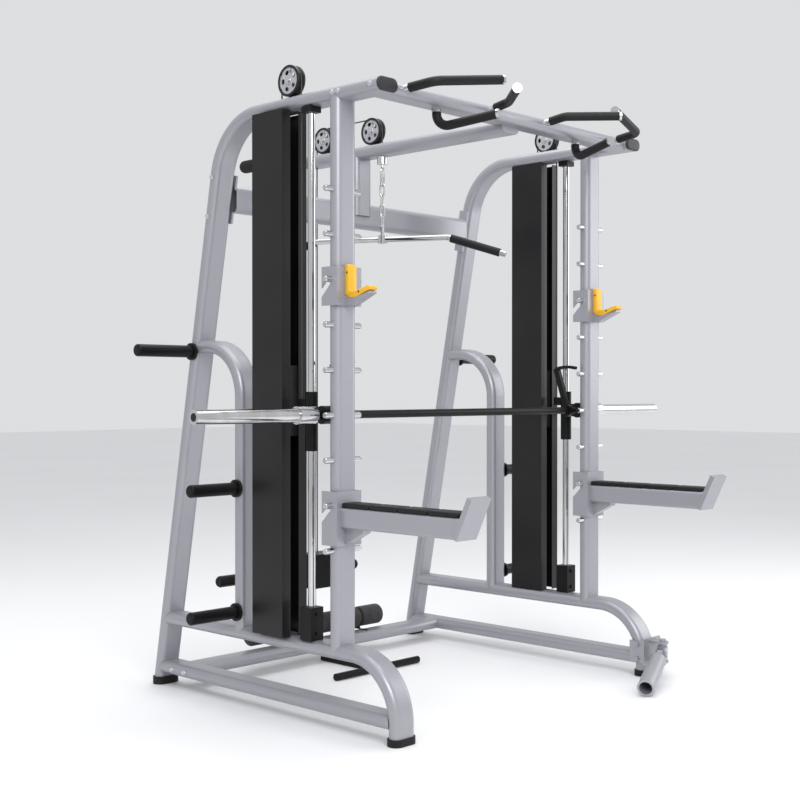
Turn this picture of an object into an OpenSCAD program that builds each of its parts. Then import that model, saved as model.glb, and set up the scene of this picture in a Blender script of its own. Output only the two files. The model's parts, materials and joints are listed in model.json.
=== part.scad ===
// Smith machine with counterbalanced bar, lat pulldown station, J hooks, spotter arms and landmine.
// X runs along the bar, -Y is the front and +Z is up. The origin is on the floor, under the middle.

/* [Frame] */
// Distance from the middle to each side frame
frame_x = 750; // [735:1:765]
// Width of every frame tube, along X
tube_w = 100; // [90:1:104]
// Thickness of every frame tube
tube_t = 50; // [46:1:52]
// Wall of the frame tubes
tube_wall = 3; // [2:0.5:4]
// Height of the top rail's centre line
rail_z = 2260; // [2240:5:2280]
// Height of the foot rail's centre line
foot_rail_z = 278; // [270:1:285]
// Height of the base rail's centre line
base_rail_z = 75; // [70:1:80]
// Lean of the rear legs from the vertical, in degrees
leg_lean = 10.6; // [10:0.1:11]
// Bend radius between a rear leg and its top rail
leg_bend = 250; // [240:5:260]
// Where the top rail's bend starts, along Y
rail_back_y = 437; // [430:1:445]
// Front end of the top rails, along Y
rail_front_y = -220; // [-230:1:-215]
// Bend radius of the front feet
foot_bend = 210; // [200:1:215]
// Centre line of the front feet, along Y
foot_front_y = -290; // [-295:1:-285]
// Centre line of the plate-post uprights, along Y
post_tube_y = 535; // [530:1:540]

/* [Pegs and bar] */
// Distance between neighbouring pegs
peg_pitch = 160; // [158:1:162]
// Height of the top peg
peg_top_z = 1920; // [1915:1:1925]
// Radius of the pegs
peg_r = 11; // [10:0.5:12]
// Distance from the middle to the pegs' inner ends
peg_in_x = 664; // [662:1:666]
// Distance from the middle to the pegs' outer ends
peg_out_x = 838; // [834:1:842]
// Centre line of the bar, along Y
bar_y = 66; // [65:0.5:67]
// Radius of the bar's shaft
shaft_r = 15; // [14:0.5:16]
// Radius of the weight sleeves
sleeve_r = 25; // [24.5:0.1:25]
// Distance from the middle to the sleeves' ends
sleeve_end_x = 1357; // [1300:1:1360]

/* [Guides] */
// Distance from the middle to the guide rods, pulleys and column covers
guide_x = 770; // [768:1:772]
// Centre line of the guide rods, along Y
rod_y = 142; // [141:0.5:144]
// Radius of the guide rods
rod_r = 14; // [13:0.5:15]
// Front face of the column covers, along Y
cover_front_y = 235; // [233:1:238]
// Depth of the column covers
cover_depth = 170; // [165:1:175]
// Width of the column covers
cover_w = 120; // [116:1:124]
// Width of the slot in the column covers' front
cover_slot = 40; // [36:1:44]

/* [Pulleys and cables] */
// Outer radius of the pulleys
pulley_r = 58; // [57:0.5:59]
// Width of the pulleys
pulley_w = 36; // [32:1:38]
// Radius at which the cables run on the pulleys
cable_run_r = 54; // [53.5:0.1:54]
// Radius of the cables
cable_r = 2.8; // [2.5:0.1:3]
// Height of the pulleys over the side frames
counter_pulley_z = 2345; // [2344:1:2346]
// Height of the pulleys over the middle tube
lat_pulley_z = 2320; // [2318:1:2324]

/* [Attachments] */
// Number of the peg that holds the J hooks, counted down from the top
hook_peg = 2; // [2]
// Number of the peg that holds the spotter arms
spotter_peg = 7; // [7]
// Reach of the spotter arms in front of the uprights
spotter_reach = 545; // [520:5:560]
// Radius of the foam roller
roller_r = 46; // [44:0.5:47]
// Half the foam roller's length
roller_half = 390; // [380:5:400]

/* [Hidden] */
$fn = 48;

frame_paint = [0.70, 0.70, 0.73];
black_paint = [0.06, 0.06, 0.065];
chrome = [0.85, 0.86, 0.88];
hook_yellow = [0.95, 0.66, 0.08];

foot_h = 25;                // height of the rubber feet
half_t = tube_t / 2;
foot_arc_y = foot_front_y + foot_bend;
foot_arc_z = foot_rail_z - foot_bend;
leg_arc_z = rail_z - leg_bend;
leg_top_y = rail_back_y + leg_bend * cos(leg_lean);
leg_top_z = leg_arc_z + leg_bend * sin(leg_lean);
post_bend = 200;            // bend radius of the plate-post uprights
post_joint_z = 1380;        // height where they join the rear legs
beam_y = 690;               // rear crossbeam
beam_z = 1965;
beam_h = 110;
front_bar_y = -160;         // front crossbar
base_bar_y = 910;           // rear base bar
spine_z = 2232;             // tube along the middle of the top
spine_back_y = 1000;
spine_post_y = 675;
lat_front_y = 596;          // the lat station's two pulleys
lat_rear_y = 900;
lat_y = lat_front_y - cable_run_r;
lat_lift_y = lat_rear_y + cable_run_r;
counter_pulley_y = 250;
lift_y = counter_pulley_y - cable_run_r;
drop_y = counter_pulley_y + cable_run_r;
cable_hole_r = 7;
axle_r = 5;
hooked_peg = 4;             // peg that holds the bar at rest
bar_z = peg_top_z - peg_pitch * (hooked_peg + 1);
carriage_r = 23.5;
carriage_low = bar_z - 132;
carriage_high = bar_z + 83;
mount_low = foot_rail_z + half_t;
rail_under = rail_z - half_t;
weight_y = drop_y + 8;      // counterweights
weight_h = 260;
weight_top = 1300;
lat_rod_x = 70;             // lat carriage and its two rods
lat_rod_y = 900;
lat_rod_r = 11;
lat_post_y = 1139;
lat_post_z = 370;
lat_post_half = 416;
run = 0.05;                 // radial clearance of everything that slides or turns
proud = 0.05;               // how far bends stand proud of their straight runs
$grow = 0;                  // what a profile adds to its outline, set where it is drawn

// Where the rear leg's centre line is along Y, at height z
function leg_y(z) = leg_top_y + (leg_top_z - z) * tan(leg_lean);
function peg_z(i) = peg_top_z - peg_pitch * i;

// ---------- tube profiles and paths ----------

// Rectangle with round corners
module rounded(w, h, r) {
    square([w - 2 * r, h], center = true);
    square([w, h - 2 * r], center = true);
    for (sx = [-1, 1], sy = [-1, 1])
        translate([sx * (w / 2 - r), sy * (h / 2 - r)]) circle(r);
}

// Section of the frame tubes: flat on the wide faces, round on the narrow ones
module oval(w = tube_w, t = tube_t, grow = $grow) {
    rounded(w + 2 * grow, t + 2 * grow, t / 2 - 1 + grow);
}

// A little wider than a tube, to cut the end of another tube that meets it
module cope() {
    oval(tube_w + 6);
}

module oval_ring(w = tube_w, t = tube_t) {
    difference() {
        oval(w, t);
        oval(w - 2 * tube_wall, t - 2 * tube_wall, -$grow);
    }
}

// Straight tube in the YZ plane
module run_yz(from, to) {
    d = to - from;
    translate([0, from[0], from[1]]) rotate([atan2(-d[0], d[1]), 0, 0])
        linear_extrude(norm(d)) children();
}

// Bend in the YZ plane, from angle a0 to a1, counted from +Y towards +Z
module bend_yz(centre, r, a0, a1, $grow = proud) {
    translate([0, centre[0], centre[1]]) rotate([90, 0, 90]) rotate([0, 0, a0])
        rotate_extrude(angle = a1 - a0, $fn = 96) translate([r, 0]) rotate(90) children();
}

// Straight tube along X, whose profile's x lies along Y
module run_x(x0, x1, y, z) {
    translate([x0, y, z]) rotate([90, 0, 90]) linear_extrude(x1 - x0) children();
}

module rod_x(x0, x1, y, z, r) {
    translate([x0, y, z]) rotate([0, 90, 0]) cylinder(h = x1 - x0, r = r);
}

module rod_y_dir(x, y0, y1, z, r) {
    translate([x, y0, z]) rotate([-90, 0, 0]) cylinder(h = y1 - y0, r = r);
}

module rod_z(x, y, z0, z1, r) {
    translate([x, y, z0]) cylinder(h = z1 - z0, r = r);
}

// Cylinder between two points
module rod_between(a, b, r) {
    d = b - a;
    translate(a) rotate([0, acos(d[2] / norm(d)), atan2(d[1], d[0])]) cylinder(h = norm(d), r = r);
}

module both_sides() {
    children();
    mirror([1, 0, 0]) children();
}

// Every part is drawn about the uprights, then moved so that the origin is under the middle
module at_origin() {
    translate([0, -centre_y, 0]) children();
}

function unit(v) = v / norm(v);

// How much of a straight run the bend at point i takes up
function bend_trim(points, i, bend) =
    bend * tan(acos(unit(points[i] - points[i - 1]) * unit(points[i + 1] - points[i])) / 2);

// Straight run of a profile between two points
module run_between(a, b) {
    d = b - a;
    translate(a) rotate([0, acos(d[2] / norm(d)), atan2(d[1], d[0])]) linear_extrude(norm(d)) children();
}

// Bend of a profile that comes along u and leaves along v, about the corner p
module elbow(p, u, v, bend, $grow = proud) {
    turn = acos(u * v);
    inward = unit(v - (v * u) * u);
    c = p - u * bend * tan(turn / 2) + inward * bend;
    x = -inward;
    z = cross(x, u);
    multmatrix([[x[0], u[0], z[0], c[0]], [x[1], u[1], z[1], c[1]], [x[2], u[2], z[2], c[2]]])
        rotate_extrude(angle = turn, $fn = 96) translate([bend, 0]) children();
}

// Profile led through points, bent at every inner one; the bends stand out by the given rise
module sweep(points, bend, rise = proud) {
    last = len(points) - 1;
    for (i = [0:last - 1]) {
        u = unit(points[i + 1] - points[i]);
        from = i == 0 ? points[i] : points[i] + u * (bend_trim(points, i, bend) - 1);
        to = i == last - 1 ? points[i + 1] : points[i + 1] - u * (bend_trim(points, i + 1, bend) - 1);
        run_between(from, to) children();
    }
    for (i = [1:1:last - 1])
        elbow(points[i], unit(points[i] - points[i - 1]), unit(points[i + 1] - points[i]), bend, rise)
            children();
}

module disc(r) {
    circle(r + $grow);
}

module ring(r, bore) {
    difference() {
        circle(r + $grow);
        circle(bore - $grow);
    }
}

// ---------- side frames, drawn at X = 0 ----------

module leg_path() {
    run_yz([leg_y(foot_h), foot_h], [leg_top_y - sin(leg_lean), leg_top_z + cos(leg_lean)]) children();
    bend_yz([rail_back_y, leg_arc_z], leg_bend, leg_lean, 90) children();
    run_yz([rail_back_y + 1, rail_z], [rail_front_y, rail_z]) children();
}

module foot_path() {
    run_yz([leg_y(foot_rail_z), foot_rail_z], [foot_arc_y - 1, foot_rail_z]) children();
    bend_yz([foot_arc_y, foot_arc_z], foot_bend, 90, 180) children();
    run_yz([foot_front_y, foot_arc_z + 1], [foot_front_y, foot_h]) children();
}

module post_path() {
    arc_y = post_tube_y + post_bend;
    arc_z = post_joint_z - post_bend;
    run_yz([leg_y(post_joint_z), post_joint_z], [arc_y - 1, post_joint_z]) children();
    bend_yz([arc_y, arc_z], post_bend, 90, 180) children();
    run_yz([post_tube_y, arc_z + 1], [post_tube_y, foot_rail_z]) children();
}

module rear_leg() {
    color(frame_paint) difference() {
        leg_path() oval_ring();
        for (y = [lift_y, drop_y])
            rod_z(guide_x - frame_x, y, rail_z - tube_t, rail_z + tube_t, cable_hole_r);
    }
}

module foot_rail() {
    color(frame_paint) difference() {
        foot_path() oval_ring();
        leg_path() cope();
    }
}

module base_rail() {
    color(frame_paint) difference() {
        run_yz([leg_y(base_rail_z), base_rail_z], [foot_front_y, base_rail_z]) oval_ring();
        leg_path() cope();
        foot_path() cope();
    }
}

module upright() {
    color(frame_paint) difference() {
        run_yz([0, foot_rail_z], [0, rail_z]) oval_ring();
        leg_path() oval();
        foot_path() oval();
        for (i = [0:8]) rod_x(-tube_w, tube_w, 0, peg_z(i), peg_r);
    }
}

module post_upright() {
    color(frame_paint) difference() {
        post_path() oval_ring();
        leg_path() cope();
        foot_path() oval();
    }
}

module left_rear_leg() at_origin() translate([-frame_x, 0, 0]) mirror([1, 0, 0]) rear_leg();
module right_rear_leg() at_origin() translate([frame_x, 0, 0]) rear_leg();
module left_foot_rail() at_origin() translate([-frame_x, 0, 0]) foot_rail();
module right_foot_rail() at_origin() translate([frame_x, 0, 0]) foot_rail();
module left_base_rail() at_origin() translate([-frame_x, 0, 0]) base_rail();
module right_base_rail() at_origin() translate([frame_x, 0, 0]) base_rail();
module left_upright() at_origin() translate([-frame_x, 0, 0]) upright();
module right_upright() at_origin() translate([frame_x, 0, 0]) upright();
module left_post_upright() at_origin() translate([-frame_x, 0, 0]) post_upright();
module right_post_upright() at_origin() translate([frame_x, 0, 0]) post_upright();

// ---------- cross members ----------

module both_legs_solid() {
    for (x = [-frame_x, frame_x]) translate([x, 0, 0]) leg_path() oval();
}

module front_crossbar() at_origin() {
    color(frame_paint) difference() {
        run_x(-frame_x, frame_x, front_bar_y, rail_z) oval_ring();
        both_legs_solid();
    }
}

module beam_solid() {
    run_x(-frame_x, frame_x, beam_y, beam_z) rotate(90) oval(beam_h);
}

// The beam stands between two plates, each of which lies against a rear leg
module rear_crossbeam() at_origin() {
    plate_t = 8;
    plate_h = 190;
    plate_x = frame_x - tube_w / 2 - plate_t - 0.3;
    color(frame_paint) difference() {
        union() {
            run_x(-plate_x - 1, plate_x + 1, beam_y, beam_z) rotate(90) oval(beam_h);
            both_sides() translate([plate_x, leg_y(beam_z), beam_z]) rotate([leg_lean, 0, 0])
                translate([0, -half_t, -plate_h / 2]) cube([plate_t, tube_t, plate_h]);
        }
        run_x(-frame_x, frame_x, beam_y, beam_z) rotate(90)
            oval(beam_h - 2 * tube_wall, tube_t - 2 * tube_wall);
    }
}

module rear_base_bar() at_origin() {
    color(frame_paint) difference() {
        run_x(-frame_x, frame_x, base_bar_y, base_rail_z) oval_ring();
        for (x = [-frame_x, frame_x]) translate([x, 0, 0])
            run_yz([leg_y(base_rail_z), base_rail_z], [foot_front_y, base_rail_z]) oval();
    }
}

module top_spine() at_origin() {
    color(frame_paint) difference() {
        union() {
            run_yz([spine_back_y, spine_z], [front_bar_y, spine_z]) oval_ring();
            run_yz([front_bar_y + 6, spine_z], [front_bar_y, spine_z]) oval(tube_w - 2, tube_t - 2);
            difference() {
                run_yz([spine_post_y, beam_z], [spine_post_y, spine_z]) oval_ring();
                run_yz([spine_back_y, spine_z], [front_bar_y, spine_z]) oval();
                beam_solid();
            }
        }
        run_x(-frame_x, frame_x, front_bar_y, rail_z) oval();
        for (y = [lat_y, lat_lift_y]) rod_z(0, y, spine_z - tube_t, spine_z + tube_t, cable_hole_r);
    }
}

// ---------- feet, caps and bolts ----------

module rubber_feet() at_origin() {
    pad = 12;
    color(black_paint) both_sides() translate([frame_x, 0, 0]) {
        translate([0, foot_front_y, 0]) linear_extrude(foot_h) oval(tube_w + pad, tube_t + pad);
        difference() {
            translate([0, leg_y(foot_h), 0]) linear_extrude(foot_h + 6) oval(tube_w + pad, tube_t + pad);
            leg_path() oval(tube_w + 1, tube_t + 1);
        }
    }
}

// Plugs in the open tube ends
module end_caps() at_origin() {
    cap_t = 9;
    color([0.17, 0.17, 0.18]) {
        both_sides() translate([frame_x, 0, 0])
            run_yz([rail_front_y, rail_z], [rail_front_y - cap_t, rail_z]) oval();
        run_yz([spine_back_y, spine_z], [spine_back_y + cap_t, spine_z]) oval();
    }
}

module bolt_head(r = 9, h = 8) {
    cylinder(h = h - 3, r = r);
    translate([0, 0, h - 3]) cylinder(h = 3, r = r - 2);
}

// Bolt heads on the outer faces of the side frames, set along a line in the YZ plane
module side_bolt(y, z) {
    translate([frame_x + tube_w / 2, y, z]) rotate([0, 90, 0]) bolt_head();
}

module frame_bolts() at_origin() {
    color(chrome) both_sides() {
        for (y = [-190, -30]) side_bolt(y, rail_z);
        for (z = [beam_z - 75, beam_z + 75]) side_bolt(leg_y(z), z);
        for (y = [base_bar_y - 40, base_bar_y + 40]) side_bolt(y, base_rail_z);
        side_bolt(0, rail_z);
    }
}

// ---------- columns, rods, pegs and posts ----------

module column_cover() {
    skin = 2;
    lip = 14;
    x0 = guide_x - cover_w / 2;
    slot_x = guide_x - cover_slot / 2;
    color(black_paint) difference() {
        translate([x0, cover_front_y, mount_low]) cube([cover_w, cover_depth, rail_under - mount_low]);
        translate([x0 + skin, cover_front_y + skin, mount_low - 1])
            cube([cover_w - 2 * skin, cover_depth - 2 * skin, rail_under - mount_low + 2]);
        translate([slot_x, cover_front_y - 1, mount_low - 1])
            cube([cover_slot, lip, rail_under - mount_low + 2]);
    }
}

module left_column_cover() at_origin() mirror([1, 0, 0]) column_cover();
module right_column_cover() at_origin() column_cover();

// Rubber-tipped peg for spare handles, on the back of the left column
module accessory_peg() at_origin() {
    back_y = cover_front_y + cover_depth;
    peg_z0 = 2062;
    color(black_paint) {
        rod_y_dir(-guide_x, back_y, back_y + 110, peg_z0, 24);
        translate([-guide_x, back_y + 110, peg_z0]) rotate([-90, 0, 0])
            rotate_extrude() intersection() {
                circle(24);
                square([24, 24]);
            }
    }
}

module guide_rods() at_origin() {
    color(chrome) {
        both_sides() rod_z(guide_x, rod_y, mount_low + 40, rail_under - 12, rod_r);
        both_sides() rod_z(lat_rod_x, lat_rod_y, base_rail_z + half_t, spine_z - half_t, lat_rod_r);
    }
}

// Clamp blocks at the foot and the head of each bar guide rod
module rod_mounts() at_origin() {
    block = 60;
    block_h = 120;
    bolt_x = guide_x + block / 2;
    color(black_paint) both_sides() {
        difference() {
            translate([guide_x - block / 2, rod_y - block / 2, mount_low]) cube([block, block, block_h]);
            rod_z(guide_x, rod_y, mount_low + 40, mount_low + block_h + 1, rod_r);
        }
        difference() {
            translate([guide_x - 25, rod_y - 25, rail_under - 22]) cube([50, 50, 22]);
            rod_z(guide_x, rod_y, rail_under - 23, rail_under - 12, rod_r);
        }
        for (z = [mount_low + 25, mount_low + 95])
            translate([guide_x, rod_y - block / 2, z]) rotate([90, 0, 0]) cylinder(h = 6, r = 7);
    }
}

module pegs() at_origin() {
    tip = 4;
    color(chrome) both_sides() for (i = [0:8]) {
        rod_x(peg_in_x + tip, peg_out_x - tip, 0, peg_z(i), peg_r);
        translate([peg_out_x - tip, 0, peg_z(i)]) rotate([0, 90, 0])
            cylinder(h = tip, r1 = peg_r, r2 = peg_r - tip / 2);
        translate([peg_in_x + tip, 0, peg_z(i)]) rotate([0, -90, 0])
            cylinder(h = tip, r1 = peg_r, r2 = peg_r - tip / 2);
    }
}

// Storage posts for weight plates: a flange, a tube and a rounded tip
module plate_post(y, z, length, lean) {
    flange_t = 10;
    post_r = 24;
    round_r = 8;
    translate([frame_x + tube_w / 2, y, z]) rotate([0, 90 - lean, 0]) {
        translate([0, 0, -2]) cylinder(h = flange_t + 2, r = 34);
        cylinder(h = length - round_r, r = post_r);
        translate([0, 0, length - round_r]) rotate_extrude() {
            square([post_r - round_r, round_r]);
            intersection() {
                translate([post_r - round_r, 0]) circle(round_r);
                square([post_r, round_r]);
            }
        }
    }
}

module plate_posts() at_origin() {
    color(black_paint) both_sides() difference() {
        union() {
            plate_post(leg_y(1362), 1362, 265, 0);
            plate_post(post_tube_y, 833, 225, 0);
            plate_post(post_tube_y, 360, 225, 0);
        }
        translate([frame_x, 0, 0]) {
            leg_path() oval();
            post_path() oval();
        }
    }
}

// ---------- pulleys ----------

// Pulley about an axis along X, with a cable groove and five oval windows
module pulley(x, y, z) {
    groove_r = cable_run_r - cable_r - 0.1;
    groove_w = 9;
    hub_r = 16;
    rim_r = 41;
    dish = 5;
    slot_r = 33;
    translate([x, y, z]) rotate([90, 0, 90]) difference() {
        rotate_extrude($fn = 72) difference() {
            translate([0, -pulley_w / 2]) square([pulley_r, pulley_w]);
            translate([groove_r, -groove_w / 2]) square([pulley_r, groove_w]);
            square([2 * (axle_r + run), 2 * pulley_w], center = true);
            for (s = [-1, 1]) translate([hub_r, s * pulley_w / 2 - (s > 0 ? dish : 0)])
                square([rim_r - hub_r, dish]);
        }
        for (a = [0:72:359]) rotate(a) translate([slot_r - 4, 0, 0]) {
            cube([9, 18, 2 * pulley_w], center = true);
            for (s = [-9, 9]) translate([0, s, -pulley_w]) cylinder(h = 2 * pulley_w, r = 4.5);
        }
    }
}

module left_counter_pulley() at_origin() color(chrome) pulley(-guide_x, counter_pulley_y, counter_pulley_z);
module right_counter_pulley() at_origin() color(chrome) pulley(guide_x, counter_pulley_y, counter_pulley_z);
module lat_front_pulley() at_origin() color(chrome) pulley(0, lat_front_y, lat_pulley_z);
module lat_rear_pulley() at_origin() color(chrome) pulley(0, lat_rear_y, lat_pulley_z);

// One ear beside the pulley, with the axle that it carries
module pulley_bracket(x, y, z, foot_z) {
    gap = 1.5;
    ear_x = x + pulley_w / 2 + gap;
    ear_t = 6;
    ear_w = 40;
    translate([ear_x, y - ear_w / 2, foot_z]) cube([ear_t, ear_w, z - foot_z]);
    rod_x(ear_x, ear_x + ear_t, y, z, ear_w / 2);
    rod_x(x - pulley_w / 2 - gap, ear_x + ear_t + 5, y, z, axle_r);
    rod_x(x - pulley_w / 2 - gap - 4, x - pulley_w / 2 - gap, y, z, 9);
    rod_x(ear_x + ear_t, ear_x + ear_t + 7, y, z, 9);
}

module pulley_brackets() at_origin() {
    color(chrome) difference() {
        union() {
            pulley_bracket(-guide_x, counter_pulley_y, counter_pulley_z, rail_z);
            pulley_bracket(guide_x, counter_pulley_y, counter_pulley_z, rail_z);
            pulley_bracket(0, lat_front_y, lat_pulley_z, spine_z);
            pulley_bracket(0, lat_rear_y, lat_pulley_z, spine_z);
        }
        both_legs_solid();
        run_yz([spine_back_y, spine_z], [front_bar_y, spine_z]) oval();
    }
}

// ---------- the bar, its carriages and counterweights ----------

module carriages() at_origin() {
    bearing_r = 33;
    bearing_w = 44;
    color(black_paint) both_sides() difference() {
        union() {
            rod_z(guide_x, rod_y, carriage_low, carriage_high, carriage_r);
            rod_x(guide_x - bearing_w / 2, guide_x + bearing_w / 2, bar_y, bar_z, bearing_r);
            translate([guide_x - 15, bar_y, bar_z - 28]) cube([30, rod_y - bar_y, 56]);
            translate([guide_x - 10, rod_y + 16, carriage_high - 62]) cube([20, lift_y - rod_y - 8, 36]);
        }
        rod_z(guide_x, rod_y, carriage_low - 1, carriage_high + 1, rod_r + run);
        rod_x(guide_x - bearing_w, guide_x + bearing_w, bar_y, bar_z, shaft_r + run);
    }
}

module bar_shaft() at_origin() {
    color(black_paint) rod_x(-1340, 1340, bar_y, bar_z, shaft_r);
}

// Sleeves for weight plates, each with its collar
module bar_sleeves() at_origin() {
    collar_in = 829;
    collar_out = 911;
    collar_r = 32;
    color(chrome) both_sides() difference() {
        union() {
            rod_x(collar_in, collar_out, bar_y, bar_z, collar_r);
            rod_x(collar_out, sleeve_end_x, bar_y, bar_z, sleeve_r);
        }
        rod_x(collar_in - 1, 1340, bar_y, bar_z, shaft_r);
    }
}

// Hook that lies on a peg once the bar is turned. Its roof is an arc about the bar, so it
// swings over the peg. It is drawn turned away, as it is while the bar is moved. It is a ring
// sector with a shank down to the hub on the bar.
module bar_hook() {
    turned_away = 24;
    reach = norm([bar_y, peg_pitch]);
    roof = reach + peg_r + 0.3;
    lean = atan2(bar_y, peg_pitch);
    thick = 13;
    w = 20;
    hook_x = 668;
    hub_r = 27;
    front_a = 90 + lean + 15;
    shank_a = 90 + lean - 16;
    shank_w = 24;
    translate([hook_x, bar_y, bar_z]) rotate([90, 0, 90]) rotate([0, 0, -turned_away]) {
        difference() {
            union() {
                cylinder(h = w, r = hub_r);
                rotate([0, 0, shank_a]) rotate_extrude(angle = front_a - shank_a, $fn = 180)
                    translate([roof, 0]) square([thick, w]);
                rotate([0, 0, shank_a]) translate([0, -shank_w / 2, 0])
                    cube([roof + thick - 4, shank_w, w]);
            }
            translate([0, 0, -1]) cylinder(h = w + 2, r = shaft_r);
        }
    }
}

module bar_hooks() at_origin() {
    color(black_paint) both_sides() bar_hook();
}

module counterweights() at_origin() {
    color([0.25, 0.25, 0.27]) both_sides() difference() {
        translate([guide_x - 36, weight_y - 55, weight_top - weight_h]) cube([72, 110, weight_h]);
        rod_z(guide_x, drop_y, weight_top - 30, weight_top + 1, cable_r);
    }
}

// ---------- cables ----------

module counter_cable_fronts() at_origin() {
    color([0.1, 0.1, 0.1]) both_sides()
        rod_z(guide_x, lift_y, carriage_high - 26, counter_pulley_z, cable_r);
}

module counter_cable_wraps() at_origin() {
    color([0.1, 0.1, 0.1]) both_sides() translate([guide_x, 0, 0])
        bend_yz([counter_pulley_y, counter_pulley_z], cable_run_r, 0, 180) circle(cable_r);
}

module counter_cable_rears() at_origin() {
    color([0.1, 0.1, 0.1]) both_sides() rod_z(guide_x, drop_y, weight_top, counter_pulley_z, cable_r);
}

stop_top = spine_z - half_t - 0.5;
stop_low = stop_top - 34;

module lat_cable_front() at_origin() {
    color([0.1, 0.1, 0.1]) rod_z(0, lat_y, stop_top, lat_pulley_z, cable_r);
}

module lat_cable_over() at_origin() {
    color([0.1, 0.1, 0.1]) {
        bend_yz([lat_front_y, lat_pulley_z], cable_run_r, 90, 180) circle(cable_r);
        bend_yz([lat_rear_y, lat_pulley_z], cable_run_r, 0, 90) circle(cable_r);
        rod_y_dir(0, lat_front_y, lat_rear_y, lat_pulley_z + cable_run_r, cable_r);
    }
}

lat_lug_z = 470;

module lat_cable_rear() at_origin() {
    color([0.1, 0.1, 0.1]) rod_z(0, lat_lift_y, lat_lug_z, lat_pulley_z, cable_r);
}

// ---------- lat pulldown ----------

lat_bar_z = 1852;
lat_bar_a = -62;            // the bar hangs turned towards the front

// One link: a stretched ring, in the plane that turn picks
module link(z, h, w, r, turn) {
    translate([0, lat_y, z]) rotate([0, 0, turn]) {
        for (s = [-1, 1]) rod_z(s * (w / 2 - r), 0, -(h - w) / 2 - 0.5, (h - w) / 2 + 0.5, r);
        for (s = [0, 180]) rotate([0, s, 0]) translate([0, 0, (h - w) / 2]) rotate([90, 0, 0])
            rotate_extrude(angle = 180) translate([w / 2 - r, 0]) circle(r + proud);
    }
}

// Snap hook, then four chain links that hang in each other
module lat_hanger() at_origin() {
    snap_z = 2120;
    snap_h = 86;
    snap_r = 4.5;
    link_h = 60;
    link_r = 4;
    play = 0.1;
    link_step = link_h - 4 * link_r - play;
    link_z = snap_z - snap_h / 2 + 2 * snap_r + 2 * link_r - link_h / 2 + play;
    color(chrome) {
        rod_z(0, lat_y, stop_low, stop_top, 22);
        rod_z(0, lat_y, stop_low - 12, stop_low, 6);
        link(snap_z, snap_h, 36, snap_r, 20);
        for (i = [0:3]) link(link_z - i * link_step, link_h, 26, link_r, i % 2 == 0 ? 110 : 20);
        rod_z(0, lat_y, 1894, 1906, 9);
    }
}

// Path of the lat bar: straight in the middle, with dropped ends
lat_half = 290;
lat_drop = [245, -78];
lat_bend = 60;
lat_bar_r = 12.5;

lat_path = [
    [-lat_half - lat_drop[0], 0, lat_drop[1]], [-lat_half, 0, 0],
    [lat_half, 0, 0], [lat_half + lat_drop[0], 0, lat_drop[1]]
];

module lat_bar() at_origin() {
    color(chrome) translate([0, lat_y, lat_bar_z]) rotate([0, 0, lat_bar_a]) {
        sweep(lat_path, lat_bend) disc(lat_bar_r);
        cylinder(h = 41.5, r = 8);
        translate([0, 0, -17]) cylinder(h = 34, r = 19);
    }
}

module lat_grips() at_origin() {
    grip_in = 12;
    grip_out = 232;
    u = unit(lat_drop);
    color(black_paint) translate([0, lat_y, lat_bar_z]) rotate([0, 0, lat_bar_a]) for (s = [-1, 1])
        difference() {
            rod_between([s * (lat_half + grip_in * u[0]), 0, grip_in * u[1]],
                [s * (lat_half + grip_out * u[0]), 0, grip_out * u[1]], 17);
            rod_between([s * (lat_half - 20 * u[0]), 0, -20 * u[1]],
                [s * (lat_half + 252 * u[0]), 0, 252 * u[1]], lat_bar_r + 0.4);
        }
}

module lat_carriage() at_origin() {
    slider_h = 150;
    slider_z = 330;
    color(black_paint) difference() {
        union() {
            translate([-lat_rod_x - 24, lat_rod_y - 22, slider_z])
                cube([2 * lat_rod_x + 48, lat_lift_y - lat_rod_y + 44, slider_h]);
            translate([-40, lat_rod_y + 20, lat_post_z - 34]) cube([80, lat_post_y - lat_rod_y - 20, 68]);
            rod_x(-lat_post_half + 8, lat_post_half - 8, lat_post_y, lat_post_z, sleeve_r);
            for (s = [-1, 1])
                translate([s * (lat_post_half - 8), lat_post_y, lat_post_z]) rotate([0, s * 90, 0])
                cylinder(h = 8, r1 = sleeve_r, r2 = sleeve_r - 5);
            for (s = [-1, 1]) rod_x(s * 52 - 6, s * 52 + 6, lat_post_y, lat_post_z, disc_r);
        }
        for (x = [-lat_rod_x, lat_rod_x])
            rod_z(x, lat_rod_y, slider_z - 1, slider_z + slider_h + 1, lat_rod_r + run);
        rod_z(0, lat_lift_y, lat_lug_z, slider_z + slider_h + 1, cable_r);
    }
}

// ---------- rear low station ----------

roller_y = 963;
roller_z = 155;
mount_x = 250;

module roller_mount() at_origin() {
    top = base_rail_z + half_t;
    color(black_paint) {
        both_sides() {
            translate([mount_x, base_bar_y - 20, top]) cube([8, roller_y - base_bar_y + 42, 4]);
            translate([mount_x, roller_y - 22, top]) cube([8, 44, roller_z - top]);
            rod_x(mount_x, mount_x + 8, roller_y, roller_z, 22);
        }
        rod_x(-roller_half, roller_half, roller_y, roller_z, 12);
    }
}

// Foam sleeves on the roller axle, one in the middle and one outside each plate
module foam_roller() at_origin() {
    gap = 2;
    color(black_paint) difference() {
        union() {
            rod_x(-mount_x + gap, mount_x - gap, roller_y, roller_z, roller_r);
            both_sides() rod_x(mount_x + 8 + gap, roller_half, roller_y, roller_z, roller_r);
        }
        rod_x(-roller_half - 1, roller_half + 1, roller_y, roller_z, 12 + run);
    }
}

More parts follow.
